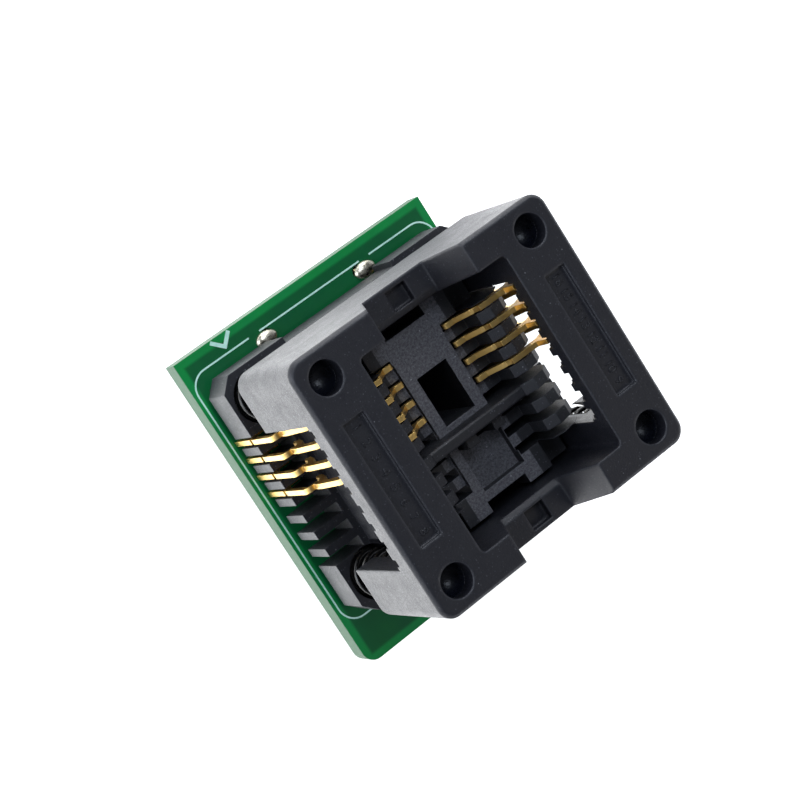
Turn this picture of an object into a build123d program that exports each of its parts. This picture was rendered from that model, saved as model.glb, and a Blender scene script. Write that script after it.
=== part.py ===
"""IC programmer adapter socket: an open-top chip socket with a floating press-down cover,
standing on a small adapter board with two rows of pins for a programmer's socket."""
import math
import os

from build123d import *

os.makedirs("parts", exist_ok=True)

# Chip and contact layout, set by the chip that the socket takes
contact_pitch = 1.27
positions_per_side = 8
loaded_positions = 4
chip_body_width = 3.9
chip_lead_span = 6.0
row_length = contact_pitch * (positions_per_side - 1)

# Heights that the rest is worked out from
board_thickness = 1.6
seat_height = 10.4
top = board_thickness
seat_z = top + seat_height

# Contacts, stamped from strip and standing on edge
strip_thickness = 0.34
heel_outset = 1.0
heel_drop = 3.9
heel_r = 0.35
heel_clearance = 0.06
finger_reach = 0.66
finger_tip_r = 0.27
limb_gap = 0.12
stem_setback = 0.02
tail_inset = 1.28
tail_width = 0.45
tail_below_board = 1.0
tail_hole_r = 0.4
pivot_x = chip_lead_span / 2 + heel_outset
pivot_z = seat_z - heel_drop
finger_tip_x = chip_lead_span / 2 - finger_reach

# Comb between the contacts, and the tower that carries it and the chip seat
comb_slot_width = 0.55
slot_end_gap = 0.07
slot_floor_gap = 0.08
ledge_drop = 0.3
comb_wall_rise = 1.6
comb_crest_rise = 2.05
comb_tip_reach = 2.25
comb_foot_reach = 2.8
comb_end_gap = 0.25
tower_end_length = 1.45
tower_end_drop = 1.1
seat_half_x = chip_body_width / 2
slot_inner_x = finger_tip_x - finger_tip_r - slot_end_gap
slot_floor = pivot_z - slot_floor_gap
ledge_z = seat_z - ledge_drop
comb_inner_x = pivot_x - heel_r
comb_wall_z = seat_z + comb_wall_rise
comb_crest_z = seat_z + comb_crest_rise
comb_tip_x = pivot_x + comb_tip_reach
comb_foot_x = pivot_x + comb_foot_reach

# Seat hole, end slots, lower seat and end stop
seat_hole_half_x = 1.15
seat_hole_length = 3.4
seat_hole_gap = 0.72
end_slot_half_x = 1.55
end_slot_depth = 0.68
lower_seat_drop = 0.8
lower_seat_inset = 0.65
lower_seat_end = 1.3
stop_bevel = 0.12
stop_tab_length = 0.7

# Side windows, opening and walls, from the contact row outwards
window_margin = 0.555
opening_gap = 0.25
short_wall = 2.05
tray_reach = 2.8
cover_overhang = 0.15
window_half_y = row_length / 2 + window_margin
comb_half_y = window_half_y - comb_end_gap
tower_half_y = window_half_y + tower_end_length
opening_half_y = tower_half_y + opening_gap
base_half_x = comb_foot_x + tray_reach
base_half_y = opening_half_y + short_wall
cover_half_x = base_half_x + cover_overhang
cover_half_y = base_half_y
stem_outer_x = base_half_x - stem_setback
tail_x = base_half_x - tail_inset - stem_setback

# Base housing
base_gap = 0.7
tray_height = 3.65
base_corner = 0.9
foot_size = 1.5
foot_inset = 1.3
wall_slot_width = 0.72
wall_slot_depth = 2.3
gable_height = 2.65
gable_half_low = 6.3
gable_half_high = 4.4
gable_thickness = 0.62
gable_setback = 0.43
panel_depth = 0.4
base_floor = top + base_gap
base_top = top + tray_height
gable_face_y = base_half_y - gable_setback

# Cover frame, which floats above the base on four springs
cover_travel = 1.9
cover_drop = 3.5
cover_rise = 5.17
cover_corner = 1.0
cover_edge = 0.22
opening_outset = 1.6
bar_rise = 3.25
bar_relief = 0.3
dip_depth = 3.27
dip_half_low = 2.3
dip_half_high = 3.6
dip_bevel = (0.4, 0.25)
dip_pocket = (1.5, 1.3, 0.6)
dip_pocket_outset = 1.1
label_inset = (1.45, 1.15)
label_end = 0.8
label_depth = 0.3
tool_hole_r = 1.05
tool_hole_depth = 2.2
tool_hole_inset = (1.9, 1.8)
cam_slot_width = 0.5
cam_mouth_width = 0.78
slide_gap = 0.12
cover_bottom = seat_z - cover_drop
cover_top = seat_z + cover_rise
opening_half_x = pivot_x + opening_outset
bar_underside = seat_z + bar_rise
dip_floor = cover_top - dip_depth

# Latches that keep the cover on the base
latch_half_x = 1.5
latch_outset = 0.2
latch_thickness = 0.5
latch_nose = 0.4
latch_nose_height = 0.6
latch_reach = 0.9
latch_stop_gap = 0.08
latch_y = opening_half_y + latch_outset
latch_bottom = base_top - latch_reach

# Return springs in the four corners
spring_inset = 2.15
spring_outer_r = 1.6
spring_wire_r = 0.16
spring_coils = 7
spring_chords_per_coil = 8
spring_pocket_gap = 0.15
spring_seat_height = 1.6
spring_roof_drop = 4.57
spring_x = cover_half_x - spring_inset
spring_y = cover_half_y - spring_inset
spring_pocket_r = spring_outer_r + spring_pocket_gap
spring_seat = top + spring_seat_height
spring_roof = cover_top - spring_roof_drop

# Adapter board round the base
board_side_margin = 0.55
board_front_margin = 1.97
board_back_margin = 3.45
board_corner_r = 0.9
board_half_x = base_half_x + board_side_margin
board_front_y = base_half_y + board_front_margin
board_back_y = -base_half_y - board_back_margin

# Pins for the programmer, in two rows under the pin-one end of the board
pin_pitch = 2.54
pin_row_spacing = 7.62
pins_per_row = 4
pin_r = 0.25
pin_tip = 0.12
pin_shank = 0.6
pin_below_strip = 3.3
pin_first_y = 3.5 * pin_pitch
strip_height = 2.3
strip_half_width = 1.15
strip_groove = 0.5
pin_hole_r = 0.5
solder_size = (2.2, 1.5)
solder_height = 0.5
solder_outset = 0.3


def contact_y(k):
    """Middle of contact position k, counted from 1 at the pin-one end."""
    return row_length / 2 - contact_pitch * (k - 1)


def block(x0, x1, y0, y1, z0, z1):
    """Box between two corners."""
    middle = ((x0 + x1) / 2, (y0 + y1) / 2, (z0 + z1) / 2)
    return Pos(*middle) * Box(abs(x1 - x0), abs(y1 - y0), abs(z1 - z0))


def rod(x, y, z0, z1, r):
    """Upright cylinder."""
    return Pos(x, y, (z0 + z1) / 2) * Cylinder(r, z1 - z0)


def prism(x, y, z0, z1, r, sides):
    """Upright prism on a regular polygon."""
    return extrude(Pos(x, y, z0) * RegularPolygon(r, sides), amount=z1 - z0)


def plate(points, y, thickness, side=1, radii=None):
    """Outline in X and Z, given thickness along Y and turned to one side of the socket."""
    ring = [(side * px, y - thickness / 2, pz) for px, pz in points]
    if radii:
        face = make_face(FilletPolyline(*ring, radius=radii, close=True))
    else:
        face = make_face(Polyline(*ring, close=True))
    return extrude(face, amount=thickness, dir=(0, 1, 0))


def rail(points, x0, x1):
    """Outline in Y and Z, drawn out along X."""
    face = make_face(Polyline(*[(x0, py, pz) for py, pz in points], close=True))
    return extrude(face, amount=x1 - x0, dir=(1, 0, 0))


def save(shape, name):
    export_step(shape, f"parts/{name}.step")


SIDES = {"left": -1, "right": 1}
loaded = range(1, loaded_positions + 1)
every = range(1, positions_per_side + 1)

# Adapter board with holes for pins and contact tails
pin_rows = [-pin_row_spacing / 2, pin_row_spacing / 2]
pin_ys = [pin_first_y - pin_pitch * i for i in range(pins_per_row)]
board = block(-board_half_x, board_half_x, board_back_y, board_front_y, 0, board_thickness)
board = fillet(board.edges().filter_by(Axis.Z).group_by(Axis.Y)[0], board_corner_r)
for px in pin_rows:
    for py in pin_ys:
        board -= prism(px, py, -1, top + 1, pin_hole_r, 8)
for side in SIDES.values():
    for k in loaded:
        board -= prism(side * tail_x, contact_y(k), -1, top + 1, tail_hole_r, 8)
save(board, "adapter_board")

# Pins: a square shank through strip and board, and a round leg below
number = 0
half = pin_shank / 2
for px in pin_rows:
    for py in pin_ys:
        number += 1
        leg = rod(px, py, -strip_height - pin_below_strip, -strip_height, pin_r)
        leg = chamfer(leg.edges().group_by(Axis.Z)[0], pin_tip)
        shank = block(px - half, px + half, py - half, py + half, -strip_height, top)
        save(leg + shank, f"pin_{number}")

# Plastic strips that hold the pins, notched between them
for name, side in SIDES.items():
    px = side * pin_row_spacing / 2
    reach = pin_pitch / 2 - 0.05
    strip = block(px - strip_half_width, px + strip_half_width, pin_ys[-1] - reach, pin_ys[0] + reach,
                  -strip_height, 0)
    for py in pin_ys:
        strip -= block(px - half, px + half, py - half, py + half, -strip_height - 1, 1)
    for py in pin_ys[:-1]:
        for edge in (-1, 1):
            groove = Pos(px + edge * strip_half_width, py - pin_pitch / 2, -strip_height / 2)
            strip -= groove * Rot(0, 0, 45) * Box(strip_groove, strip_groove, strip_height + 1)
    save(strip, f"pin_strip_{name}")

# Solder over the pins: a low pool on each pad, drawn out to the side
pools = []
for side in SIDES.values():
    for py in pin_ys:
        foot = Pos(side * (pin_row_spacing / 2 + solder_outset), py, top) * Rectangle(*solder_size)
        foot = chamfer(foot.vertices(), solder_size[1] * 0.28)
        pools.append(extrude(foot, amount=solder_height, taper=38))
save(Compound(pools), "pin_solder")

# Base housing: a low tray with comb slots in its long walls and a gable at each end
base = block(-base_half_x, base_half_x, -base_half_y, base_half_y, base_floor, base_top)
base = chamfer(base.edges().filter_by(Axis.Z), base_corner)
for end in (-1, 1):
    low, high = sorted((end * (base_half_y - panel_depth), end * (base_half_y + 1)))
    base -= block(-gable_half_high, gable_half_high, low, high, base_floor - 1, base_top + 1)
for end in (-1, 1):
    gable = plate([(-gable_half_low, base_top - 0.2), (-gable_half_high, base_top + gable_height),
                   (gable_half_high, base_top + gable_height), (gable_half_low, base_top - 0.2)],
                  end * (gable_face_y - gable_thickness / 2), gable_thickness)
    base += gable

# Tower: comb ribs, the chip seat and end blocks
root_z = base_floor + 0.5
rib = [(seat_half_x - 0.2, root_z), (seat_half_x - 0.2, ledge_z), (comb_inner_x, ledge_z),
       (comb_inner_x, comb_wall_z), (comb_inner_x + 0.82, comb_crest_z), (comb_tip_x - 0.83, comb_crest_z - 0.35),
       (comb_tip_x - 0.15, comb_crest_z - 1.2), (comb_tip_x, comb_crest_z - 1.55),
       (comb_tip_x - 0.05, ledge_z - 0.9), (comb_foot_x, pivot_z + 1.1), (comb_foot_x, root_z)]
for side in SIDES.values():
    base += plate(rib, 0, 2 * comb_half_y, side)
base += block(-seat_half_x, seat_half_x, -tower_half_y, tower_half_y, base_top - 1, seat_z)
for end in (-1, 1):
    low, high = sorted((end * (comb_half_y - 0.4), end * tower_half_y))
    base += block(0.3 - opening_half_x, opening_half_x - 0.3, low, high, base_top - 1, seat_z - tower_end_drop)
    base += block(0.25 - comb_inner_x, comb_inner_x - 0.25, low, high, base_top - 1, seat_z)

# Contact slots through comb and tray walls, flared at the comb's tips
half = comb_slot_width / 2
wall_half = wall_slot_width / 2
seat_groove = heel_r + heel_clearance
for side in SIDES.values():
    for k in every:
        y = contact_y(k)
        low, high = sorted((side * slot_inner_x, side * (comb_foot_x + 0.6)))
        base -= block(low, high, y - half, y + half, slot_floor, comb_crest_z + 1)
        groove = [(pivot_x - 1.2 * seat_groove, slot_floor + 0.1), (pivot_x - seat_groove * 0.45, pivot_z - seat_groove),
                  (pivot_x + seat_groove * 0.45, pivot_z - seat_groove), (pivot_x + 1.2 * seat_groove, slot_floor + 0.1)]
        base -= plate(groove, y, comb_slot_width, side)
        flare = Pos(side * (comb_tip_x + 0.05), y, (comb_crest_z + pivot_z) / 2 + 1)
        base -= flare * Rot(0, 0, 45) * Box(0.62, 0.62, comb_crest_z - pivot_z)
        low, high = sorted((side * (base_half_x - wall_slot_depth), side * (base_half_x + 1)))
        base -= block(low, high, y - wall_half, y + wall_half, base_floor - 1, base_top + 1)

# Seat hole, end slots and the lower seat beyond the chip
stop_y = (contact_y(loaded_positions + 1) + contact_y(loaded_positions + 2)) / 2
stop_half_y = (contact_pitch - comb_slot_width) / 2
hole_y0 = stop_y + seat_hole_gap
base -= block(-seat_hole_half_x, seat_hole_half_x, hole_y0, hole_y0 + seat_hole_length,
              base_floor + 1.2, seat_z + 1)
for end in (-1, 1):
    low, high = sorted((end * (tower_half_y - end_slot_depth), end * (tower_half_y + 0.1)))
    base -= block(-end_slot_half_x, end_slot_half_x, low, high, base_top - 0.5, seat_z + 1)
lower_y1 = stop_y - stop_half_y
lower_y0 = lower_seat_end - tower_half_y
base -= block(lower_seat_inset - seat_half_x, seat_half_x, lower_y0, lower_y1 + 0.01,
              seat_z - lower_seat_drop, seat_z + 1)
base -= block(-1.0, 1.4, lower_y1 - stop_tab_length, lower_y1 - 0.03, seat_z - 3, seat_z + 1)

# Spring pockets, standing feet and latch slots of the base
for sx in (-1, 1):
    for sy in (-1, 1):
        base -= rod(sx * spring_x, sy * spring_y, spring_seat, base_top + 3, spring_pocket_r)
        foot = Pos(sx * (base_half_x - foot_inset), sy * (base_half_y - foot_inset), (top + base_floor + 0.3) / 2)
        base += foot * Box(foot_size, foot_size, base_floor + 0.3 - top)
slot_x = latch_half_x + slide_gap
for end in (-1, 1):
    inner = latch_y - latch_nose - slide_gap
    low, high = sorted((end * inner, end * (latch_y + latch_thickness + slide_gap)))
    base -= block(-slot_x, slot_x, low, high, base_floor - 1, base_top + 3)
    ledge_low = latch_bottom + latch_nose_height + latch_stop_gap
    low, high = sorted((end * inner, end * (latch_y - slide_gap)))
    base += block(-slot_x, slot_x, low, high, ledge_low, base_top)
save(base, "base_housing")

# Chip end stop: a bar across the seat, set on the rib beyond the first empty position
stop = block(-comb_inner_x, comb_inner_x, stop_y - stop_half_y, stop_y + stop_half_y, seat_z, comb_wall_z)
bevel = stop.edges().filter_by(Axis.X).group_by(Axis.Z)[-1]
stop = chamfer(bevel, stop_bevel)
for x in (-0.6, 1.5):
    low = lower_y1 - stop_tab_length
    stop += block(x - 0.42, x + 0.42, low, lower_y1, seat_z - lower_seat_drop, seat_z + 0.9)
for side in SIDES.values():
    low, high = sorted((side * seat_half_x, side * comb_inner_x))
    stop += block(low, high, stop_y - stop_half_y, stop_y + stop_half_y, ledge_z, seat_z)
save(stop, "chip_end_stop")

# Contact stems: a tail through the board and a blade that lies in the tray wall
blade_z0 = top + 0.1
blade_z1 = blade_z0 + 2.85
inner_x = tail_x - 0.7
stem = [(tail_x - tail_width / 2, -tail_below_board), (tail_x + tail_width / 2, -tail_below_board),
        (tail_x + tail_width / 2, blade_z0), (stem_outer_x, blade_z0), (stem_outer_x, blade_z1 - 0.1),
        (stem_outer_x - 0.3, blade_z1), (stem_outer_x - 0.58, blade_z1), (stem_outer_x - 0.58, blade_z0 + 1.1),
        (inner_x, blade_z0 + 1.1), (inner_x, blade_z0), (tail_x - tail_width / 2, blade_z0)]
for name, side in SIDES.items():
    for k in loaded:
        save(plate(stem, contact_y(k), strip_thickness, side), f"contact_stem_{name}_{k}")

# Spring limbs: each rises from its stem's notch and bends inwards under its arm's foot
foot_z = pivot_z + 0.45
limb_top = foot_z - limb_gap
limb_x = stem_outer_x + 0.02
foot_x = limb_x - 0.95
limb = [(limb_x - 0.6, blade_z1), (limb_x - 0.3, blade_z1), (limb_x, blade_z1 + 0.25), (limb_x, limb_top),
        (foot_x, limb_top), (foot_x, limb_top - 0.34), (limb_x - 0.34, limb_top - 0.34),
        (limb_x - 0.34, blade_z1 + 0.45)]
limb_radii = [0, 0, 0.1, 0.42, 0.12, 0.1, 0.16, 0]
for name, side in SIDES.items():
    for k in loaded:
        y = contact_y(k)
        save(plate(limb, y, strip_thickness, side, limb_radii), f"contact_limb_{name}_{k}")

# Solder rings round the tails, under the board
rings = []
for side in SIDES.values():
    for k in loaded:
        y = contact_y(k)
        ring = Pos(side * tail_x, y, 0) * RegularPolygon(0.6, 8)
        ring = extrude(ring, amount=0.45, dir=(0, 0, -1), taper=30)
        ring -= block(side * tail_x - tail_width / 2, side * tail_x + tail_width / 2,
                      y - strip_thickness / 2, y + strip_thickness / 2, -2, 2)
        rings.append(ring)
save(Compound(rings), "tail_solder")

# Contact arms: heel leg and cam nose, finger over the lead, and bow with its outer tab and curl
leg = [(pivot_x - 0.28, pivot_z + 0.25), (pivot_x + 0.28, pivot_z + 0.25), (pivot_x + 0.62, pivot_z + 2.5),
       (pivot_x + 1.0, pivot_z + 4.7), (pivot_x + 1.35, pivot_z + 5.25), (pivot_x + 2.45, pivot_z + 5.25),
       (pivot_x + 2.5, pivot_z + 5.95), (pivot_x + 2.42, pivot_z + 7.2), (pivot_x + 1.87, pivot_z + 7.2),
       (pivot_x + 1.8, pivot_z + 6.1), (pivot_x + 1.3, pivot_z + 6.0), (pivot_x - 0.1, pivot_z + 5.92),
       (pivot_x - 0.05, pivot_z + 5.0), (pivot_x + 0.25, pivot_z + 4.9), (pivot_x - 0.05, pivot_z + 2.5)]
finger = [(finger_tip_x, seat_z + 0.02 - finger_tip_r), (finger_tip_x + 0.5, seat_z - 0.12),
          (pivot_x + 0.02, pivot_z + 4.85), (pivot_x - 0.04, pivot_z + 5.8), (pivot_x - 0.28, pivot_z + 5.32),
          (pivot_x - 0.45, pivot_z + 5.22), (finger_tip_x + 0.45, seat_z + 0.3),
          (finger_tip_x, seat_z + 0.02 + finger_tip_r)]
tab_x = stem_outer_x - 0.55
bow = [(pivot_x + 2.3, pivot_z + 5.25), (tab_x - 1.15, pivot_z + 4.05), (tab_x - 0.73, pivot_z + 3.4),
       (tab_x - 0.45, pivot_z + 1.35), (tab_x - 0.95, pivot_z + 0.5), (tab_x - 1.22, pivot_z - 0.75),
       (tab_x - 0.98, pivot_z - 1.2), (tab_x - 0.76, pivot_z - 0.75), (tab_x - 0.72, pivot_z - 0.1),
       (tab_x - 0.42, foot_z), (tab_x - 0.02, foot_z), (tab_x, pivot_z + 1.3), (tab_x - 0.27, pivot_z + 3.8),
       (tab_x - 0.68, pivot_z + 4.5), (pivot_x + 2.5, pivot_z + 5.95)]
bow_radii = [0, 0.3, 0.3, 0.2, 0.3, 0.12, 0.1, 0.12, 0.1, 0, 0.1, 0, 0.5, 0.3, 0]
for name, side in SIDES.items():
    for k in loaded:
        y = contact_y(k)
        turned = Rot(90, 0, 0)
        heel = Pos(side * pivot_x, y, pivot_z) * turned * Cylinder(heel_r, strip_thickness)
        tip = Pos(side * finger_tip_x, y + strip_thickness / 2, seat_z + 0.02) * turned * RegularPolygon(
            finger_tip_r, 12)
        arm = plate(leg, y, strip_thickness, side) + heel
        arm += plate(finger, y, strip_thickness, side) + extrude(tip, amount=strip_thickness)
        arm += plate(bow, y, strip_thickness, side, bow_radii)
        save(arm, f"contact_arm_{name}_{k}")

# Cover frame: four corner posts, two long bars and two short walls
cover = block(-cover_half_x, cover_half_x, -cover_half_y, cover_half_y, cover_bottom, cover_top)
cover = fillet(cover.edges().filter_by(Axis.Z), cover_corner)
cover = chamfer(cover.faces().sort_by(Axis.Z)[-1].edges(), cover_edge)
opening = block(-opening_half_x, opening_half_x, -opening_half_y, opening_half_y,
                cover_bottom - 1, cover_top + 1)
cover -= fillet(opening.edges().filter_by(Axis.Z), 0.35)
cover -= block(-cover_half_x - 1, cover_half_x + 1, -window_half_y, window_half_y,
               cover_bottom - 1, bar_underside)

# Slanted inner edge under each long bar, which clears the comb when the cover is down
relief = [(opening_half_x - 0.1, bar_underside - 0.1), (opening_half_x - 0.1, bar_underside + bar_relief + 0.1),
          (opening_half_x + bar_relief + 0.1, bar_underside - 0.1)]
for side in SIDES.values():
    cover -= plate(relief, 0, 2 * window_half_y, side)

# Dips in the short walls, each with a bevelled inner edge and a square pocket
for end in (-1, 1):
    dip = [(-dip_half_low, dip_floor), (-dip_half_high, cover_top + 0.01), (-dip_half_high, cover_top + 1),
           (dip_half_high, cover_top + 1), (dip_half_high, cover_top + 0.01), (dip_half_low, dip_floor)]
    cover -= plate(dip, end * (opening_half_y + short_wall / 2), short_wall + 1)
    edge_y = opening_half_y - 0.1
    slope = [(end * edge_y, dip_floor + 0.1), (end * (opening_half_y + dip_bevel[0]), dip_floor + 0.1),
             (end * (opening_half_y + dip_bevel[0]), dip_floor), (end * opening_half_y, dip_floor - dip_bevel[1]),
             (end * edge_y, dip_floor - dip_bevel[1])]
    cover -= rail(slope, -dip_half_low + 0.05, dip_half_low - 0.05)
    pocket = Pos(0, end * (opening_half_y + dip_pocket_outset), dip_floor)
    cover -= pocket * Box(dip_pocket[0], dip_pocket[1], 2 * dip_pocket[2])

# Label recesses, tool holes and spring pockets of the cover
for side in SIDES.values():
    low, high = sorted((side * (opening_half_x + label_inset[0]), side * (cover_half_x - label_inset[1])))
    cover -= block(low, high, label_end - window_half_y, window_half_y - label_end,
                   cover_top - label_depth, cover_top + 1)
for sx in (-1, 1):
    for sy in (-1, 1):
        hole_x = sx * (cover_half_x - tool_hole_inset[0])
        hole_y = sy * (cover_half_y - tool_hole_inset[1])
        cover -= rod(hole_x, hole_y, cover_top - tool_hole_depth, cover_top + 1, tool_hole_r)
        cover -= rod(sx * spring_x, sy * spring_y, cover_bottom - 1, spring_roof, spring_pocket_r)

# Cam slots in the bars, one over each contact position, each with a wider mouth inside
lip_z = bar_underside + 0.45
roof_z = bar_underside + 1.25
notch_z = bar_underside + 0.35
cam = [(opening_half_x - 0.3, bar_underside - 0.5), (opening_half_x - 0.3, lip_z), (pivot_x + 2.15, lip_z),
       (pivot_x + 3.35, roof_z), (pivot_x + 4.95, roof_z), (pivot_x + 4.95, notch_z),
       (cover_half_x + 1, notch_z), (cover_half_x + 1, bar_underside - 0.5)]
mouth = [(opening_half_x - 0.1, bar_underside - 0.1), (opening_half_x - 0.1, bar_underside + 0.85),
         (opening_half_x + 0.1, bar_underside + 0.85), (opening_half_x + 0.32, bar_underside + 0.4),
         (opening_half_x + 0.32, bar_underside - 0.1)]
for side in SIDES.values():
    for k in every:
        cover -= plate(cam, contact_y(k), cam_slot_width, side)
        cover -= plate(mouth, contact_y(k), cam_mouth_width, side)

# Pockets over the gables of the base, and the latches
roof = base_top + gable_height + cover_travel + 0.25
shoulder_x = gable_half_low + 0.25
ridge_x = gable_half_high + 0.2
for end in (-1, 1):
    inner = gable_face_y - gable_thickness - slide_gap
    low, high = sorted((end * inner, end * (gable_face_y + slide_gap)))
    hood = [(-shoulder_x, cover_bottom - 1), (-shoulder_x, cover_bottom + 0.2), (-ridge_x, roof),
            (ridge_x, roof), (shoulder_x, cover_bottom + 0.2), (shoulder_x, cover_bottom - 1)]
    cover -= plate(hood, (low + high) / 2, high - low)
    low, high = sorted((end * latch_y, end * (latch_y + latch_thickness)))
    cover += block(-latch_half_x, latch_half_x, low, high, latch_bottom, cover_bottom + 1)
    low, high = sorted((end * (latch_y - latch_nose), end * latch_y))
    cover += block(-latch_half_x, latch_half_x, low, high, latch_bottom, latch_bottom + latch_nose_height)
save(cover, "cover_frame")

# Return springs, one in each corner between the base and the cover, wound as short chords
coil_r = spring_outer_r - spring_wire_r
z0 = spring_seat + spring_wire_r
length = spring_roof - spring_seat - 2 * spring_wire_r
chords = spring_coils * spring_chords_per_coil
number = 0
for sx in (-1, 1):
    for sy in (1, -1):
        number += 1
        turns = [2 * math.pi * i / spring_chords_per_coil for i in range(chords + 1)]
        path = Polyline(*[(sx * spring_x + coil_r * math.cos(a), sy * spring_y + coil_r * math.sin(a),
                           z0 + length * i / chords) for i, a in enumerate(turns)])
        section = Plane(origin=path @ 0, z_dir=path % 0) * RegularPolygon(1.1 * spring_wire_r, 5)
        save(sweep(section, path=path, transition=Transition.RIGHT), f"return_spring_{number}")
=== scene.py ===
import math

import bmesh
import bpy
from mathutils import Matrix, Vector


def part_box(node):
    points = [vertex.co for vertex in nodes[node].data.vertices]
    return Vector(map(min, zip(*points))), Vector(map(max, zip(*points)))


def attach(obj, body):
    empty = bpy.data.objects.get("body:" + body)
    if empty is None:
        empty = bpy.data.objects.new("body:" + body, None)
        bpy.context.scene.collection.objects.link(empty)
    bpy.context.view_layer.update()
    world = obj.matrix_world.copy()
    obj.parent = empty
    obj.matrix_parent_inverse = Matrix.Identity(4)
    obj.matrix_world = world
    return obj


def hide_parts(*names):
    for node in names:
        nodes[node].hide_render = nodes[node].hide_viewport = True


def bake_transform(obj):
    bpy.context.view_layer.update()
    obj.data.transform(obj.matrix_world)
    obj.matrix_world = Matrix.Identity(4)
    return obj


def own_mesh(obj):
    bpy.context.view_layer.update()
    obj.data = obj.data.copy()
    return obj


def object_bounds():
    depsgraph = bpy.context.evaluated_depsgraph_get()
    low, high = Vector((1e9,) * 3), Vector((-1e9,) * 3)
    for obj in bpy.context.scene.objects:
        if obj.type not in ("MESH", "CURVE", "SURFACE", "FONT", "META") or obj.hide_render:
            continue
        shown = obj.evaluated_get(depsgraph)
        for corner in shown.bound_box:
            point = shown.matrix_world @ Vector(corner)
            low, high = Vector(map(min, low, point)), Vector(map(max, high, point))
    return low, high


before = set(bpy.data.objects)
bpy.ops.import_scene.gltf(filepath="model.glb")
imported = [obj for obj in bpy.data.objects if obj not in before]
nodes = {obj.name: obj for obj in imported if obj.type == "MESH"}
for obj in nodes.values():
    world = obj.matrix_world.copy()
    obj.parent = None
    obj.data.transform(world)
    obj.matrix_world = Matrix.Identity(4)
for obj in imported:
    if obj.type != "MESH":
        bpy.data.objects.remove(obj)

cad_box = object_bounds()
MM = 0.001


# The stage. The socket stands on the tips of its pins on a matt white table, and the
# photographer looks down on it from the left, over its pin-one end, through a long lens.
def hex_colour(code):
    """An sRGB hex colour as the linear values that a shader takes."""
    values = [int(code[i:i + 2], 16) / 255 for i in (1, 3, 5)]
    linear = [v / 12.92 if v <= 0.04045 else ((v + 0.055) / 1.055) ** 2.4 for v in values]
    return (*linear, 1.0)


def add_node(tree, kind, settings=None, **inputs):
    """One node with its settings and inputs, each a value or another node's socket. An input
    goes by its name, with _ for a space, or by i and its number."""
    node = tree.nodes.new(kind)
    for key, value in (settings or {}).items():
        setattr(node, key, value)
    for key, value in inputs.items():
        numbered = key[0] == "i" and key[1:].isdigit()
        socket = node.inputs[int(key[1:]) if numbered else key.replace("_", " ")]
        if isinstance(value, bpy.types.NodeSocket):
            tree.links.new(value, socket)
        else:
            socket.default_value = value
    return node


def new_material(name):
    """An empty node material and its output node."""
    material = bpy.data.materials.new(name)
    material.use_nodes = True
    material.node_tree.nodes.clear()
    output = material.node_tree.nodes.new("ShaderNodeOutputMaterial")
    return material, material.node_tree, output


def show(name, data):
    """A mesh, curve, lamp or camera as an object of its own in the scene."""
    piece = bpy.data.objects.new(name, data)
    scene.collection.objects.link(piece)
    return piece


scene = bpy.context.scene
scene.view_settings.view_transform = "Standard"

table_z = cad_box[0][2]
table_reach = 600 * MM
table_mesh = bpy.data.meshes.new("table_top")
table_mesh.from_pydata([(x * table_reach, y * table_reach, table_z) for x, y in
                        ((-1, -1), (1, -1), (1, 1), (-1, 1))], [], [(0, 1, 2, 3)])
table_top = show("table_top", table_mesh)

# Matt white paper, plain white to the camera. The photograph overexposes it, so shiny faces
# mirror it brighter than white. Round the far right corner of the socket and away to its
# right, painted shade dims the paper where it is mirrored, which leaves the faces that look
# there dark.
table_white = "#f4f4f4"
table_glow = 0.85
mirrored_glow = 3.15
painted_shade_share = 0.14
corner_place = Vector((11.5, 13.0, 0.0)) * MM
corner_inner = 1.5 * MM
corner_outer = 11 * MM
right_start = 8 * MM
right_end = 22 * MM
paper, tree, output = new_material("matt_white_paper")
rays = add_node(tree, "ShaderNodeLightPath")
sheet = add_node(tree, "ShaderNodeBsdfDiffuse", Color=hex_colour(table_white))
seen = add_node(tree, "ShaderNodeMath", {"operation": "MAXIMUM"},
                i0=rays.outputs["Is Camera Ray"], i1=rays.outputs["Is Transmission Ray"])
straight = add_node(tree, "ShaderNodeMath", {"operation": "MULTIPLY"}, i0=seen.outputs[0],
                    i1=table_glow)
spot = add_node(tree, "ShaderNodeTexCoord").outputs["Object"]
place = add_node(tree, "ShaderNodeSeparateXYZ", Vector=spot)
off = add_node(tree, "ShaderNodeVectorMath", {"operation": "SUBTRACT"}, i0=spot, i1=corner_place)
off_flat = add_node(tree, "ShaderNodeVectorMath", {"operation": "MULTIPLY"}, i0=off.outputs[0],
                    i1=(1, 1, 0))
away = add_node(tree, "ShaderNodeVectorMath", {"operation": "LENGTH"}, i0=off_flat.outputs[0])
# Painted shade in the paper's mirrored glow: dark round the far right corner of the socket, and
# darkening along x minus y to its right.
corner_painted_shade = add_node(tree, "ShaderNodeMapRange", {"interpolation_type": "SMOOTHSTEP"},
                      i0=away.outputs["Value"], i1=corner_inner, i2=corner_outer,
                      i3=painted_shade_share, i4=1.0)
across = add_node(tree, "ShaderNodeMath", {"operation": "SUBTRACT"}, i0=place.outputs["X"],
                  i1=place.outputs["Y"])
right_painted_shade = add_node(tree, "ShaderNodeMapRange", i0=across.outputs[0], i1=right_start,
                     i2=right_end, i3=1.0, i4=painted_shade_share)
mirrored_painted_shade = add_node(tree, "ShaderNodeMath", {"operation": "MINIMUM"}, i0=right_painted_shade.outputs[0],
                  i1=corner_painted_shade.outputs[0])
reached = add_node(tree, "ShaderNodeMath", {"operation": "MULTIPLY"},
                   i0=rays.outputs["Is Glossy Ray"], i1=mirrored_painted_shade.outputs[0])
mirrored = add_node(tree, "ShaderNodeMath", {"operation": "MULTIPLY_ADD"},
                    i0=reached.outputs[0], i1=mirrored_glow, i2=straight.outputs[0])
glow = add_node(tree, "ShaderNodeEmission", Color=(1, 1, 1, 1), Strength=mirrored.outputs[0])
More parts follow.
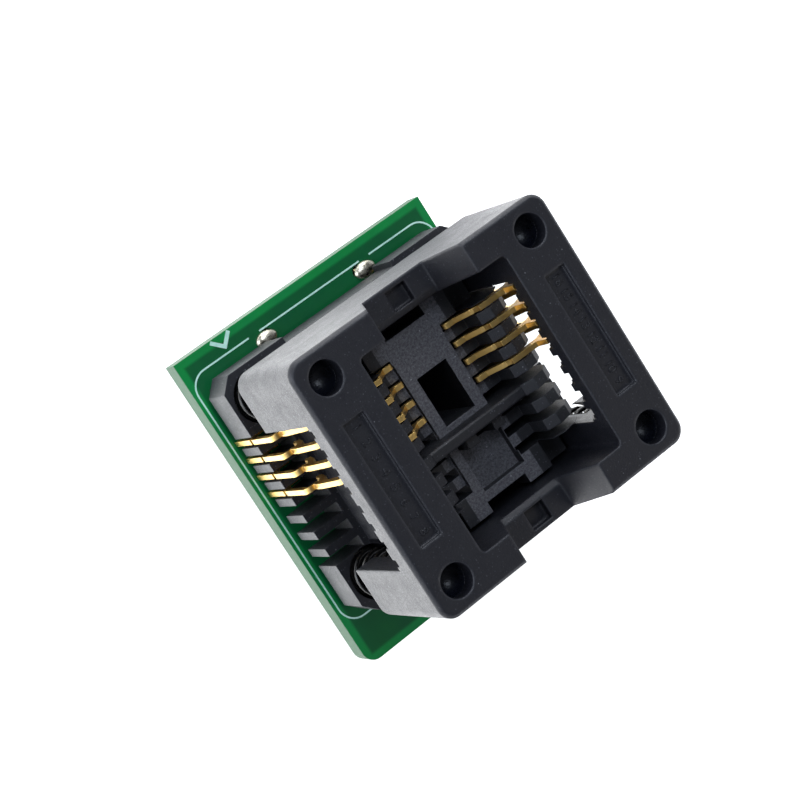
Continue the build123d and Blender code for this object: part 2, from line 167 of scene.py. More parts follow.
both = add_node(tree, "ShaderNodeAddShader", i0=sheet.outputs[0], i1=glow.outputs[0])
tree.links.new(both.outputs[0], output.inputs["Surface"])
table_mesh.materials.append(paper)

# Lens and place of the camera, from the corners of board, base and cover in the photograph
camera_eye = Vector((-48.43, 23.92, 126.44)) * MM
camera_aim = Vector((-1.567, 1.900, 9.0)) * MM
camera_up = Vector((0.5537, 0.83015, 0.06526))
camera_data = bpy.data.cameras.new("camera")
camera_data.sensor_width = 36.0
camera_data.lens = 94.82
camera_data.clip_start = 5 * MM
camera = show("camera", camera_data)
back = (camera_eye - camera_aim).normalized()
right = camera_up.cross(back).normalized()
camera.matrix_world = Matrix.Translation(camera_eye) @ Matrix(
    (right, back.cross(right), back)).transposed().to_4x4()
scene.camera = camera

# Studio light: a room with pale walls and a dim ceiling, and four soft boxes
wall_colour = "#e1e7f6"
wall_glow = 1.1
ceiling_glow = 0.15
ceiling_start = 0.65
room = bpy.data.worlds.new("pale_room")
scene.world = room
room.use_nodes = True
walls = room.node_tree
upward = add_node(walls, "ShaderNodeSeparateXYZ",
                  Vector=add_node(walls, "ShaderNodeTexCoord").outputs["Generated"])
dimming = add_node(walls, "ShaderNodeMapRange", i0=upward.outputs["Z"], i1=0.0,
                   i2=ceiling_start, i3=wall_glow, i4=ceiling_glow)
walls.links.new(dimming.outputs[0], walls.nodes["Background"].inputs["Strength"])
walls.nodes["Background"].inputs["Color"].default_value = hex_colour(wall_colour)

lit_place = Vector((0, 0, 8)) * MM


def soft_box(name, place, size, watts, colour):
    """A square area lamp, sized and placed in millimetres, turned to the socket."""
    lamp = bpy.data.lights.new(name, "AREA")
    lamp.size = size * MM
    lamp.energy = watts
    lamp.color = hex_colour(colour)[:3]
    holder = show(name, lamp)
    holder.location = Vector(place) * MM
    holder.rotation_euler = (lit_place - holder.location).to_track_quat("-Z", "Y").to_euler()


soft_box("soft_box_left", (-190, 60, 110), size=130, watts=0.24, colour="#eaf1ff")
soft_box("soft_box_far", (60, 210, 110), size=130, watts=0.24, colour="#f4f7ff")
soft_box("soft_box_top", (-10, 95, 176), size=64, watts=0.085, colour="#e4efff")
soft_box("soft_box_right", (150, -120, 150), size=110, watts=0.06, colour="#fff9f2")


# Base housing, end stop and cover. Black glass-filled plastic, injection moulded, so the
# skin has a fine matt grain, faint cloudy flow, pale fibre flecks and slightly worn edges.
def moulded_plastic(name, colour, grain_mm, edge_mm, roughness, fibre, seat_mm=0.0):
    """Black moulded plastic; grain and edge rounding in millimetres, fibre flecks as a share.
    Level faces nearer the middle than seat_mm are spark-eroded, so they are paler and coarser."""
    flow_mm = 1.4
    pit_mm = 0.16
    grain_depth_mm = 0.03
    seat_border_mm = 0.05
    fleck_inner_mm = 0.015
    fleck_outer_mm = 0.05
    worn_colour = "#2c2e34"
    eroded_colour = "#717176"
    fleck_kinds = ((0.15, 0.35, "#74767e"), (0.36, 0.16, "#d6d9de"))
    material, tree, output = new_material(name)
    place = add_node(tree, "ShaderNodeTexCoord").outputs["Object"]
    grain = add_node(tree, "ShaderNodeTexNoise", Vector=place, Scale=1 / (grain_mm * MM),
                     Detail=3.0, Roughness=0.65)
    cloud = add_node(tree, "ShaderNodeTexNoise", Vector=place, Scale=1 / (flow_mm * MM),
                     Detail=5.0, Roughness=0.6)
    rounded = add_node(tree, "ShaderNodeBevel", {"samples": 8}, Radius=edge_mm * MM)
    facing = add_node(tree, "ShaderNodeNewGeometry")
    turned = add_node(tree, "ShaderNodeVectorMath", {"operation": "DOT_PRODUCT"},
                      i0=rounded.outputs[0], i1=facing.outputs["True Normal"])
    edge = add_node(tree, "ShaderNodeMapRange", i0=turned.outputs["Value"],
                    i1=0.995, i2=0.80, i3=0.0, i4=1.0)
    worn = add_node(tree, "ShaderNodeMath", {"operation": "MULTIPLY"},
                    i0=edge.outputs[0], i1=cloud.outputs["Fac"])
    deep = hex_colour(colour)
    pale = tuple(min(1.0, v * 1.5) for v in deep[:3]) + (1.0,)
    flow = add_node(tree, "ShaderNodeMix", {"data_type": "RGBA"}, Factor=cloud.outputs["Fac"],
                    i6=deep, i7=pale)
    rubbed = add_node(tree, "ShaderNodeMix", {"data_type": "RGBA"}, Factor=worn.outputs[0],
                      i6=flow.outputs[2], i7=hex_colour(worn_colour))
    upright = add_node(tree, "ShaderNodeSeparateXYZ", Vector=facing.outputs["True Normal"])
    level = add_node(tree, "ShaderNodeMapRange", i0=upright.outputs["Z"], i1=0.9, i2=0.98)
    middle = add_node(tree, "ShaderNodeMath", {"operation": "ABSOLUTE"}, i0=add_node(
        tree, "ShaderNodeSeparateXYZ", Vector=place).outputs["X"])
    well = add_node(tree, "ShaderNodeMapRange", i0=middle.outputs[0], i1=seat_mm * MM,
                    i2=(seat_mm + seat_border_mm) * MM, i3=1.0 if seat_mm else 0.0, i4=0.0)
    seat = add_node(tree, "ShaderNodeMath", {"operation": "MULTIPLY"}, i0=level.outputs[0],
                    i1=well.outputs[0])
    pits = add_node(tree, "ShaderNodeTexNoise", Vector=place, Scale=1 / (pit_mm * MM),
                    Detail=4.0, Roughness=0.8)
    eroded = add_node(tree, "ShaderNodeMapRange", i0=pits.outputs["Fac"], i1=0.38, i2=0.64,
                      i3=0.25, i4=1.0)
    strong = add_node(tree, "ShaderNodeMath", {"operation": "MULTIPLY", "use_clamp": True},
                      i0=seat.outputs[0], i1=eroded.outputs[0])
    surface = add_node(tree, "ShaderNodeMix", {"data_type": "RGBA"}, Factor=strong.outputs[0],
                       i6=rubbed.outputs[2], i7=hex_colour(eroded_colour))
    denser = add_node(tree, "ShaderNodeMath", {"operation": "MULTIPLY_ADD"},
                      i0=strong.outputs[0], i1=1.2, i2=0.8)
    for size_mm, share, tone in fleck_kinds:
        dots = add_node(tree, "ShaderNodeTexVoronoi", {"feature": "F1"}, Vector=place,
                        Scale=1 / (size_mm * MM), Randomness=1.0)
        spot = add_node(tree, "ShaderNodeMapRange", i0=dots.outputs["Distance"],
                        i1=fleck_inner_mm / size_mm, i2=fleck_outer_mm / size_mm, i3=1.0, i4=0.0)
        rare = add_node(tree, "ShaderNodeSeparateColor", Color=dots.outputs["Color"])
        kept = add_node(tree, "ShaderNodeMapRange", i0=rare.outputs[0], i1=1 - share, i2=1.0,
                        i3=0.0, i4=fibre)
        bright = add_node(tree, "ShaderNodeMath", {"operation": "MULTIPLY"},
                          i0=spot.outputs[0], i1=denser.outputs[0])
        flecks = add_node(tree, "ShaderNodeMath", {"operation": "MULTIPLY", "use_clamp": True},
                          i0=bright.outputs[0], i1=kept.outputs[0])
        surface = add_node(tree, "ShaderNodeMix", {"data_type": "RGBA"},
                           Factor=flecks.outputs[0], i6=surface.outputs[2], i7=hex_colour(tone))
    fine = add_node(tree, "ShaderNodeMapRange", i0=grain.outputs["Fac"],
                    i1=0.3, i2=0.7, i3=roughness - 0.08, i4=roughness + 0.10)
    patchy = add_node(tree, "ShaderNodeMapRange", i0=cloud.outputs["Fac"],
                      i1=0.3, i2=0.7, i3=0.06, i4=-0.06)
    matt = add_node(tree, "ShaderNodeMath", {"operation": "ADD"}, i0=fine.outputs[0],
                    i1=patchy.outputs[0])
    skin = add_node(tree, "ShaderNodeBump", Height=grain.outputs["Fac"], Strength=0.55,
                    Distance=grain_depth_mm * MM, Normal=rounded.outputs[0])
    shader = add_node(tree, "ShaderNodeBsdfPrincipled", Base_Color=surface.outputs[2],
                      Roughness=matt.outputs[0], IOR=1.55, Normal=skin.outputs[0],
                      Specular_IOR_Level=0.48)
    tree.links.new(shader.outputs[0], output.inputs["Surface"])
    return material


def dress(names, material):
    """Gives CAD nodes, whose shape is right as it is, their material."""
    for name in names:
        nodes[name].data.materials.clear()
        nodes[name].data.materials.append(material)


seat_half_width = 2.6
housing_plastic = moulded_plastic("black_pps_moulded_housing", "#1a1b1f", grain_mm=0.09,
                                  edge_mm=0.08, roughness=0.50, fibre=0.9,
                                  seat_mm=seat_half_width)
cover_plastic = moulded_plastic("black_pps_moulded_cover", "#121319", grain_mm=0.11,
                                edge_mm=0.26, roughness=0.46, fibre=0.35)
stop_plastic = moulded_plastic("black_pps_moulded_end_stop", "#15161a", grain_mm=0.09,
                               edge_mm=0.08, roughness=0.52, fibre=0.9)
dress(["base_housing"], housing_plastic)
dress(["chip_end_stop"], stop_plastic)
dress(["cover_frame"], cover_plastic)


# Adapter board. Glass laminate under a glossy green solder mask, routed to size, so its
# edges show the pale laminate. The mask is brighter in a strip along the edge and darker
# inside it, where painted shade stands for the socket's shade on the board.
board_low, board_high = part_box("adapter_board")
mask_in_edge_strip = "#0d8a42"
# Painted shade: the darker green that covers the board inside its edge strip.
painted_shade_mask = "#075c30"
resin_colour = "#4f7a5c"
glass_colour = "#8f9f88"
shade_inset = 0.42 * MM
shade_full = 0.62 * MM
mottle_mm = 1.7
weave_mm = 0.4
ripple_mm = 0.35
mask, tree, output = new_material("fr4_laminate_with_green_solder_mask")
texture = add_node(tree, "ShaderNodeTexCoord")
place = texture.outputs["Object"]
axes = add_node(tree, "ShaderNodeSeparateXYZ", Vector=place)
sideways = add_node(tree, "ShaderNodeMath", {"operation": "ABSOLUTE"}, i0=axes.outputs["X"])
from_side = add_node(tree, "ShaderNodeMath", {"operation": "SUBTRACT"}, i0=board_high.x,
                     i1=sideways.outputs[0])
from_front = add_node(tree, "ShaderNodeMath", {"operation": "SUBTRACT"}, i0=board_high.y,
                      i1=axes.outputs["Y"])
from_back = add_node(tree, "ShaderNodeMath", {"operation": "SUBTRACT"}, i0=axes.outputs["Y"],
                     i1=board_low.y)
nearer = add_node(tree, "ShaderNodeMath", {"operation": "MINIMUM"}, i0=from_side.outputs[0],
                  i1=from_front.outputs[0])
nearest = add_node(tree, "ShaderNodeMath", {"operation": "MINIMUM"}, i0=nearer.outputs[0],
                   i1=from_back.outputs[0])
# Painted shade: the green darkens from 0.42 to 0.62 mm in from the board's edges, for the socket's
# shade on the board.
painted_shade_edge = add_node(tree, "ShaderNodeMapRange", i0=nearest.outputs[0], i1=shade_inset,
                       i2=shade_full, i3=0.0, i4=1.0)
cloud = add_node(tree, "ShaderNodeTexNoise", Vector=place, Scale=1 / (mottle_mm * MM), Detail=3.0)
green = add_node(tree, "ShaderNodeMix", {"data_type": "RGBA"}, Factor=painted_shade_edge.outputs[0],
                 i6=hex_colour(mask_in_edge_strip), i7=hex_colour(painted_shade_mask))
mottled = add_node(tree, "ShaderNodeMix", {"data_type": "RGBA", "blend_type": "OVERLAY"},
                   Factor=0.22, i6=green.outputs[2], i7=cloud.outputs["Color"])
upright = add_node(tree, "ShaderNodeSeparateXYZ", Vector=texture.outputs["Normal"])
flat = add_node(tree, "ShaderNodeMath", {"operation": "ABSOLUTE"}, i0=upright.outputs["Z"])
cut = add_node(tree, "ShaderNodeMapRange", i0=flat.outputs[0], i1=0.3, i2=0.6, i3=1.0, i4=0.0)
layers = add_node(tree, "ShaderNodeMapping", Vector=place, Scale=(1.0, 1.0, 6.0))
weave = add_node(tree, "ShaderNodeTexNoise", Vector=layers.outputs[0],
                 Scale=1 / (weave_mm * MM), Detail=4.0)
laminate = add_node(tree, "ShaderNodeMix", {"data_type": "RGBA"}, Factor=weave.outputs["Fac"],
                    i6=hex_colour(resin_colour), i7=hex_colour(glass_colour))
surface = add_node(tree, "ShaderNodeMix", {"data_type": "RGBA"}, Factor=cut.outputs[0],
                   i6=mottled.outputs[2], i7=laminate.outputs[2])
rough = add_node(tree, "ShaderNodeMapRange", i0=cut.outputs[0], i1=0.0, i2=1.0, i3=0.30, i4=0.75)
ripple = add_node(tree, "ShaderNodeTexNoise", Vector=place, Scale=1 / (ripple_mm * MM), Detail=2.0)
softened = add_node(tree, "ShaderNodeBevel", {"samples": 6}, Radius=0.06 * MM)
skin = add_node(tree, "ShaderNodeBump", Height=ripple.outputs["Fac"], Strength=0.12,
                Distance=0.02 * MM, Normal=softened.outputs[0])
shader = add_node(tree, "ShaderNodeBsdfPrincipled", Base_Color=surface.outputs[2],
                  Roughness=rough.outputs[0], IOR=1.52, Normal=skin.outputs[0])
tree.links.new(shader.outputs[0], output.inputs["Surface"])
dress(["adapter_board"], mask)


# Screen print on the board: the outline that the socket is placed by, broken beside the
# solder joints, and the open arrow at pin one. White epoxy ink, printed 0.02 mm thick, and
# thin enough for the green under it to tint it.
ink_colours = ("#a2e4cc", "#e2fff4")
ink_grain_mm = 0.25
ink, tree, output = new_material("white_epoxy_screen_ink")
place = add_node(tree, "ShaderNodeTexCoord").outputs["Object"]
patchy = add_node(tree, "ShaderNodeTexNoise", Vector=place, Scale=1 / (ink_grain_mm * MM),
                  Detail=3.0)
tone = add_node(tree, "ShaderNodeMix", {"data_type": "RGBA"}, Factor=patchy.outputs["Fac"],
                i6=hex_colour(ink_colours[0]), i7=hex_colour(ink_colours[1]))
shader = add_node(tree, "ShaderNodeBsdfPrincipled", Base_Color=tone.outputs[2], Roughness=0.55)
tree.links.new(shader.outputs[0], output.inputs["Surface"])


def show_faces(name, mesh, material):
    """The faces of a bmesh, which is freed, as an object of its own with one material."""
    data = bpy.data.meshes.new(name)
    mesh.to_mesh(data)
    mesh.free()
    data.materials.append(material)
    return show(name, data)


def ribbon(name, paths, width, thickness, z):
    """Flat printed lines along paths of points, in millimetres, lying at height z."""
    mesh = bmesh.new()
    for path in paths:
        points = [Vector((x, y, 0)) for x, y in path]
        steps = [(b - a).normalized() for a, b in zip(points, points[1:])]
        rows = []
        for point, before, after in zip(points, steps[:1] + steps, steps + steps[-1:]):
            along = (before + after).normalized()
            side = Vector((-along.y, along.x, 0))
            stretch = 1 / max(0.5, side.dot(Vector((-before.y, before.x, 0))))
            edge = side * width / 2 * stretch
            rows.append([mesh.verts.new((Vector((point.x, point.y, h)) + s * edge) * MM)
                         for s, h in ((1, z), (1, z + thickness), (-1, z + thickness), (-1, z))])
        for a, b in zip(rows, rows[1:]):
            for i in range(4):
                mesh.faces.new((a[i], a[(i + 1) % 4], b[(i + 1) % 4], b[i]))
        mesh.faces.new(rows[0][::-1])
        mesh.faces.new(rows[-1])
    bmesh.ops.recalc_face_normals(mesh, faces=mesh.faces)
    return show_faces(name, mesh, ink)


def corner(cx, cy, r, start, end, steps=8):
    """Points of an arc, in millimetres and degrees."""
    angles = [math.radians(start + (end - start) * i / steps) for i in range(steps + 1)]
    return [(cx + r * math.cos(a), cy + r * math.sin(a)) for a in angles]


board_top = 1.6
ink_thickness = 0.02
line_width = 0.11
arrow_width = 0.26
arrow_points = [(-7.33, 10.58), (-6.61, 9.88), (-5.88, 10.60)]
outline_x = 9.86
outline_front = 9.45
outline_back = -9.3
outline_r = 1.25
gap_inner = 4.15
gap_outer = 5.0
corner_x = outline_x - outline_r
left_run = corner(-corner_x, outline_front - outline_r, outline_r, 90, 180)
right_run = corner(corner_x, outline_front - outline_r, outline_r, 90, 0)
back_left = corner(-corner_x, outline_back + outline_r, outline_r, 180, 270)
back_right = corner(corner_x, outline_back + outline_r, outline_r, 0, -90)
outline = [
    [(-gap_outer, outline_front)] + left_run + back_left,
    [(gap_outer, outline_front)] + right_run + back_right,
    [(-gap_inner, outline_front), (gap_inner, outline_front)],
    [back_left[-1], back_right[-1]],
]
placing_line = ribbon("printed_outline", outline, line_width, ink_thickness, board_top)
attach(placing_line, "base")
arrow = ribbon("printed_pin_one_arrow", [arrow_points], arrow_width, ink_thickness, board_top)
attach(arrow, "base")


# Pins and their strips. Turned brass pins under a thin plate of tin and gold, so they are a
# pale satin gold, soldered through the board. They are pressed into strips of black nylon,
# moulded with few fibres, so the strips are smoother and blacker than the housing.
def plated_metal(name, colour, roughness, streak_mm, edge_mm):
    """Thin plate over stamped, turned or drawn metal, with fine drawing marks."""
    tint_mm = 0.6
    mark_depth_mm = 0.004
    material, tree, output = new_material(name)
    place = add_node(tree, "ShaderNodeTexCoord").outputs["Object"]
    tint = add_node(tree, "ShaderNodeTexNoise", Vector=place, Scale=1 / (tint_mm * MM), Detail=2.0)
    stretched = add_node(tree, "ShaderNodeMapping", Vector=place, Scale=(1.0, 1.0, 0.15))
    marks = add_node(tree, "ShaderNodeTexNoise", Vector=stretched.outputs[0],
                     Scale=1 / (streak_mm * MM), Detail=2.0)
    deep = hex_colour(colour)
    dull = tuple(v * 0.80 for v in deep[:3]) + (1.0,)
    tone = add_node(tree, "ShaderNodeMix", {"data_type": "RGBA"}, Factor=tint.outputs["Fac"],
                    i6=dull, i7=deep)
    satin = add_node(tree, "ShaderNodeMapRange", i0=marks.outputs["Fac"], i1=0.3, i2=0.7,
                     i3=roughness - 0.05, i4=roughness + 0.10)
    rounded = add_node(tree, "ShaderNodeBevel", {"samples": 12}, Radius=edge_mm * MM)
    skin = add_node(tree, "ShaderNodeBump", Height=marks.outputs["Fac"], Strength=0.06,
                    Distance=mark_depth_mm * MM, Normal=rounded.outputs[0])
    shader = add_node(tree, "ShaderNodeBsdfPrincipled", Base_Color=tone.outputs[2],
                      Metallic=1.0, Roughness=satin.outputs[0], Normal=skin.outputs[0])
    tree.links.new(shader.outputs[0], output.inputs["Surface"])
    return material


pin_plate = plated_metal("tin_gold_plated_turned_brass", "#e3cfa0", roughness=0.24,
                         streak_mm=0.05, edge_mm=0.03)
dress([f"pin_{i}" for i in range(1, 9)], pin_plate)
strip_nylon = moulded_plastic("black_nylon_moulded_strip", "#0b0b0c", grain_mm=0.12,
                              edge_mm=0.08, roughness=0.42, fibre=0.1)
dress(["pin_strip_left", "pin_strip_right"], strip_nylon)

# Contacts. Copper alloy strip, stamped to shape, then gold plated, so the faces are bright
# satin gold with soft edges, and brown where one contact mirrors the dark beside it.
contact_gold = plated_metal("gold_plated_stamped_copper_alloy", "#f8d07f", roughness=0.33,
                            streak_mm=0.12, edge_mm=0.05)
dress([n for n in nodes if n.startswith("contact_")], contact_gold)


# Spring limbs, which rise from the stems' notches, bend inwards and run into the arms' feet.
def rounded_path(points, radii, step):
    """Points of a path whose corners are arcs, no further apart than the step."""
    arc_steps = 8
    corners = [Vector(p) for p in points]
    path = [corners[0]]
    for i, radius in enumerate(radii, 1):
        before = (corners[i - 1] - corners[i]).normalized()
        after = (corners[i + 1] - corners[i]).normalized()
        half = before.angle(after) / 2
        middle = corners[i] + (before + after).normalized() * radius / math.sin(half)
        start = corners[i] + before * radius / math.tan(half) - middle
        end = corners[i] + after * radius / math.tan(half) - middle
        for k in range(arc_steps + 1):
            path.append(middle + start.slerp(end, k / arc_steps) * radius)
    path.append(corners[-1])
    fine = [path[0]]
    for a, b in zip(path, path[1:]):
        parts = max(1, math.ceil((b - a).length / step))
        fine += [a.lerp(b, k / parts) for k in range(1, parts + 1)]
    return fine


def spring_limb(name, side, y, path, width, thickness):
    """One limb, swept along a path in X and Z; sizes in millimetres."""
    mesh = bmesh.new()
    rows = []
    for i, point in enumerate(path):
        along = (path[min(i + 1, len(path) - 1)] - path[max(i - 1, 0)]).normalized()
        across = Vector((-along.y, along.x)) * width / 2
        rows.append([mesh.verts.new(Vector((side * (point.x + a * across.x), y + b * thickness / 2,
                                            point.y + a * across.y)) * MM)
                     for a, b in ((1, 1), (1, -1), (-1, -1), (-1, 1))])
    for low, high in zip(rows, rows[1:]):
        for i in range(4):
            mesh.faces.new((low[i], low[(i + 1) % 4], high[(i + 1) % 4], high[i]))
    mesh.faces.new(rows[0])
    mesh.faces.new(rows[-1][::-1])
    bmesh.ops.recalc_face_normals(mesh, faces=mesh.faces)
    return show_faces(name, mesh, contact_gold)


comb_places = 8
contacts_a_side = 4
contact_pitch = 1.27
contact_first_y = (comb_places - 1) / 2 * contact_pitch
limb_outer_x = 9.43
limb_inner_x = 8.81
limb_corners = [(9.15, 4.56), (limb_outer_x, 4.86), (limb_outer_x, 8.26), (limb_inner_x, 8.27),
                (limb_inner_x, 8.58)]
limb_radii = [0.3, 0.33, 0.2]
limb_step = 0.25
limb_width = 0.34
limb_path = rounded_path(limb_corners, limb_radii, limb_step)
for side_name, side in (("left", -1), ("right", 1)):
    for k in range(1, contacts_a_side + 1):
        y = contact_first_y - contact_pitch * (k - 1)
        limb = spring_limb(f"limb_{side_name}_{k}", side, y, limb_path, limb_width, limb_width)
        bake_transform(limb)
        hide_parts(f"contact_limb_{side_name}_{k}")


# Solder joints, on the pins above the board and on the contact tails below it. Bright tin
# alloy that ran up the metal and froze, so each is a smooth lump of its own size, with a
# mirror skin that is faintly frosted.
solder_dull = "#cfc7ad"
solder_bright = "#f6efdc"
frost_mm = 0.3
solder, tree, output = new_material("bright_tin_solder_reflowed")
place = add_node(tree, "ShaderNodeTexCoord").outputs["Object"]
frost = add_node(tree, "ShaderNodeTexNoise", Vector=place, Scale=1 / (frost_mm * MM), Detail=4.0)
tone = add_node(tree, "ShaderNodeMix", {"data_type": "RGBA"}, Factor=frost.outputs["Fac"],
                i6=hex_colour(solder_dull), i7=hex_colour(solder_bright))
satin = add_node(tree, "ShaderNodeMapRange", i0=frost.outputs["Fac"], i1=0.35, i2=0.7,
                 i3=0.22, i4=0.42)
skin = add_node(tree, "ShaderNodeBump", Height=frost.outputs["Fac"], Strength=0.3,
                Distance=0.02 * MM)
shader = add_node(tree, "ShaderNodeBsdfPrincipled", Base_Color=tone.outputs[2], Metallic=1.0,
                  Roughness=satin.outputs[0], Normal=skin.outputs[0])
tree.links.new(shader.outputs[0], output.inputs["Surface"])


def geometry_tree(name, labels):
    """A geometry tree with these inputs, of which Finish is a material, and its input node."""
    tree = bpy.data.node_groups.new(name + "_tree", "GeometryNodeTree")
    tree.is_modifier = True
    tree.interface.new_socket("Geometry", in_out="INPUT", socket_type="NodeSocketGeometry")
    for label in labels:
        kind = "NodeSocketMaterial" if label == "Finish" else "NodeSocketFloat"
        tree.interface.new_socket(label, in_out="INPUT", socket_type=kind)
    tree.interface.new_socket("Geometry", in_out="OUTPUT", socket_type="NodeSocketGeometry")
    return tree, add_node(tree, "NodeGroupInput")


def plain_mesh(holder):
    """The mesh that an object shows, with its modifiers worked out; the object goes."""
    bpy.context.view_layer.update()
    data = bpy.data.meshes.new_from_object(
        holder.evaluated_get(bpy.context.evaluated_depsgraph_get()))
    bpy.data.objects.remove(holder)
    return data


def grown_mesh(tree, result, seeds, values):
    """The plain mesh that a geometry tree makes from a mesh and values for its named inputs."""
    leave = add_node(tree, "NodeGroupOutput")
    tree.links.new(result, leave.inputs[0])
    holder = show(seeds.name, seeds)
    modifier = holder.modifiers.new("growth", "NODES")
    modifier.node_group = tree
    sockets = {s.name: s.identifier for s in tree.interface.items_tree if s.in_out == "INPUT"}
    for label, value in values.items():
        modifier[sockets[label]] = value
    return plain_mesh(holder)


def solder_lumps(name, places, width, radius, height, z, up, swell):
    """Frozen lumps at these places, above height z where up is 1 and below it where up is -1.
    Width and radius reach from the middle in X and Y; they and the rest are in millimetres."""
    swell_pattern_mm = 0.9
    smallest_share = 0.86
    largest_share = 1.08
    share_seed = 7
    swell_seed = 0.0137
    tree, entry = geometry_tree(name, ("Radius", "Width", "Height", "Lump size", "Seed", "Finish"))
    ball = add_node(tree, "GeometryNodeMeshUVSphere", Segments=28, Rings=18, Radius=1.0)
    spots = add_node(tree, "GeometryNodeMeshToPoints", Mesh=entry.outputs["Geometry"])
    size = add_node(tree, "ShaderNodeCombineXYZ", X=entry.outputs["Width"],
                    Y=entry.outputs["Radius"], Z=entry.outputs["Height"])
    vary = add_node(tree, "FunctionNodeRandomValue", {"data_type": "FLOAT"}, i2=smallest_share,
                    i3=largest_share, Seed=share_seed)
    own = add_node(tree, "ShaderNodeVectorMath", {"operation": "SCALE"}, i0=size.outputs[0],
                   Scale=vary.outputs[1])
    set_down = add_node(tree, "GeometryNodeInstanceOnPoints", Points=spots.outputs[0],
                        Instance=ball.outputs["Mesh"], Scale=own.outputs[0])
    real = add_node(tree, "GeometryNodeRealizeInstances", Geometry=set_down.outputs[0])
    shift = add_node(tree, "ShaderNodeCombineXYZ", X=entry.outputs["Seed"])
    moved = add_node(tree, "ShaderNodeVectorMath", {"operation": "ADD"},
                     i0=add_node(tree, "GeometryNodeInputPosition").outputs[0],
                     i1=shift.outputs[0])
    wave = add_node(tree, "ShaderNodeTexNoise", {"noise_dimensions": "3D"},
                    Vector=moved.outputs[0], Scale=1 / (swell_pattern_mm * MM), Detail=1.0)
    centred = add_node(tree, "ShaderNodeMath", {"operation": "SUBTRACT"},
                       i0=wave.outputs["Fac"], i1=0.5)
    push = add_node(tree, "ShaderNodeMath", {"operation": "MULTIPLY"},
                    i0=centred.outputs[0], i1=entry.outputs["Lump size"])
    outward = add_node(tree, "ShaderNodeVectorMath", {"operation": "SCALE"},
                       i0=add_node(tree, "GeometryNodeInputNormal").outputs[0],
                       Scale=push.outputs[0])
    frozen = add_node(tree, "GeometryNodeSetPosition", Geometry=real.outputs[0],
                      Offset=outward.outputs[0])
    smooth = add_node(tree, "GeometryNodeSetShadeSmooth", Geometry=frozen.outputs[0])
    painted = add_node(tree, "GeometryNodeSetMaterial", Geometry=smooth.outputs[0],
                       Material=entry.outputs["Finish"])
    seeds = bpy.data.meshes.new(name + "_places")
    seeds.from_pydata([(x * MM, y * MM, z * MM) for x, y in places], [], [])
    data = grown_mesh(tree, painted.outputs[0], seeds, {
        "Width": width * MM, "Radius": radius * MM, "Height": height * MM,
        "Lump size": swell * MM, "Seed": swell_seed, "Finish": solder})
    mesh = bmesh.new()
    mesh.from_mesh(data)
    cut = bmesh.ops.bisect_plane(mesh, geom=mesh.verts[:] + mesh.edges[:] + mesh.faces[:],
                                 plane_co=(0, 0, z * MM), plane_no=(0, 0, -up), clear_outer=True,
                                 dist=0.001 * MM)
    rims = [e for e in cut["geom_cut"] if isinstance(e, bmesh.types.BMEdge)]
    bmesh.ops.edgeloop_fill(mesh, edges=rims)
    bmesh.ops.recalc_face_normals(mesh, faces=mesh.faces)
    return show_faces(name, mesh, solder)


joint_centre = {-1: -4.0, 1: 4.2}
joint_forward = -0.1
pins_a_row = 4
pin_first_y = 8.89
pin_pitch = 2.54
pin_places = [(joint_centre[side], pin_first_y + joint_forward - pin_pitch * i)
              for side in (-1, 1) for i in range(pins_a_row)]
pin_joints = solder_lumps("pin_joints", pin_places, width=0.78, radius=0.51, height=0.36,
                          z=board_top, up=1, swell=0.05)
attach(pin_joints, "base")
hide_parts("pin_solder")

tail_x = 8.3
tail_places = [(side * tail_x, contact_first_y - contact_pitch * i)
               for side in (-1, 1) for i in range(contacts_a_side)]
tail_joints = solder_lumps("tail_joints", tail_places, width=0.55, radius=0.55, height=0.42,
                           z=0.0, up=-1, swell=0.08)
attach(tail_joints, "base")
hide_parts("tail_solder")


# Return springs, one in each corner. Hard drawn steel wire, coiled cold, so it is dark with a
# thin bright line along it, with the last turn at each end wound close so that it sits flat
# on the base and under the cover.
spring_steel = plated_metal("hard_drawn_spring_steel_wire", "#444443", roughness=0.26,
                            streak_mm=0.04, edge_mm=0.02)


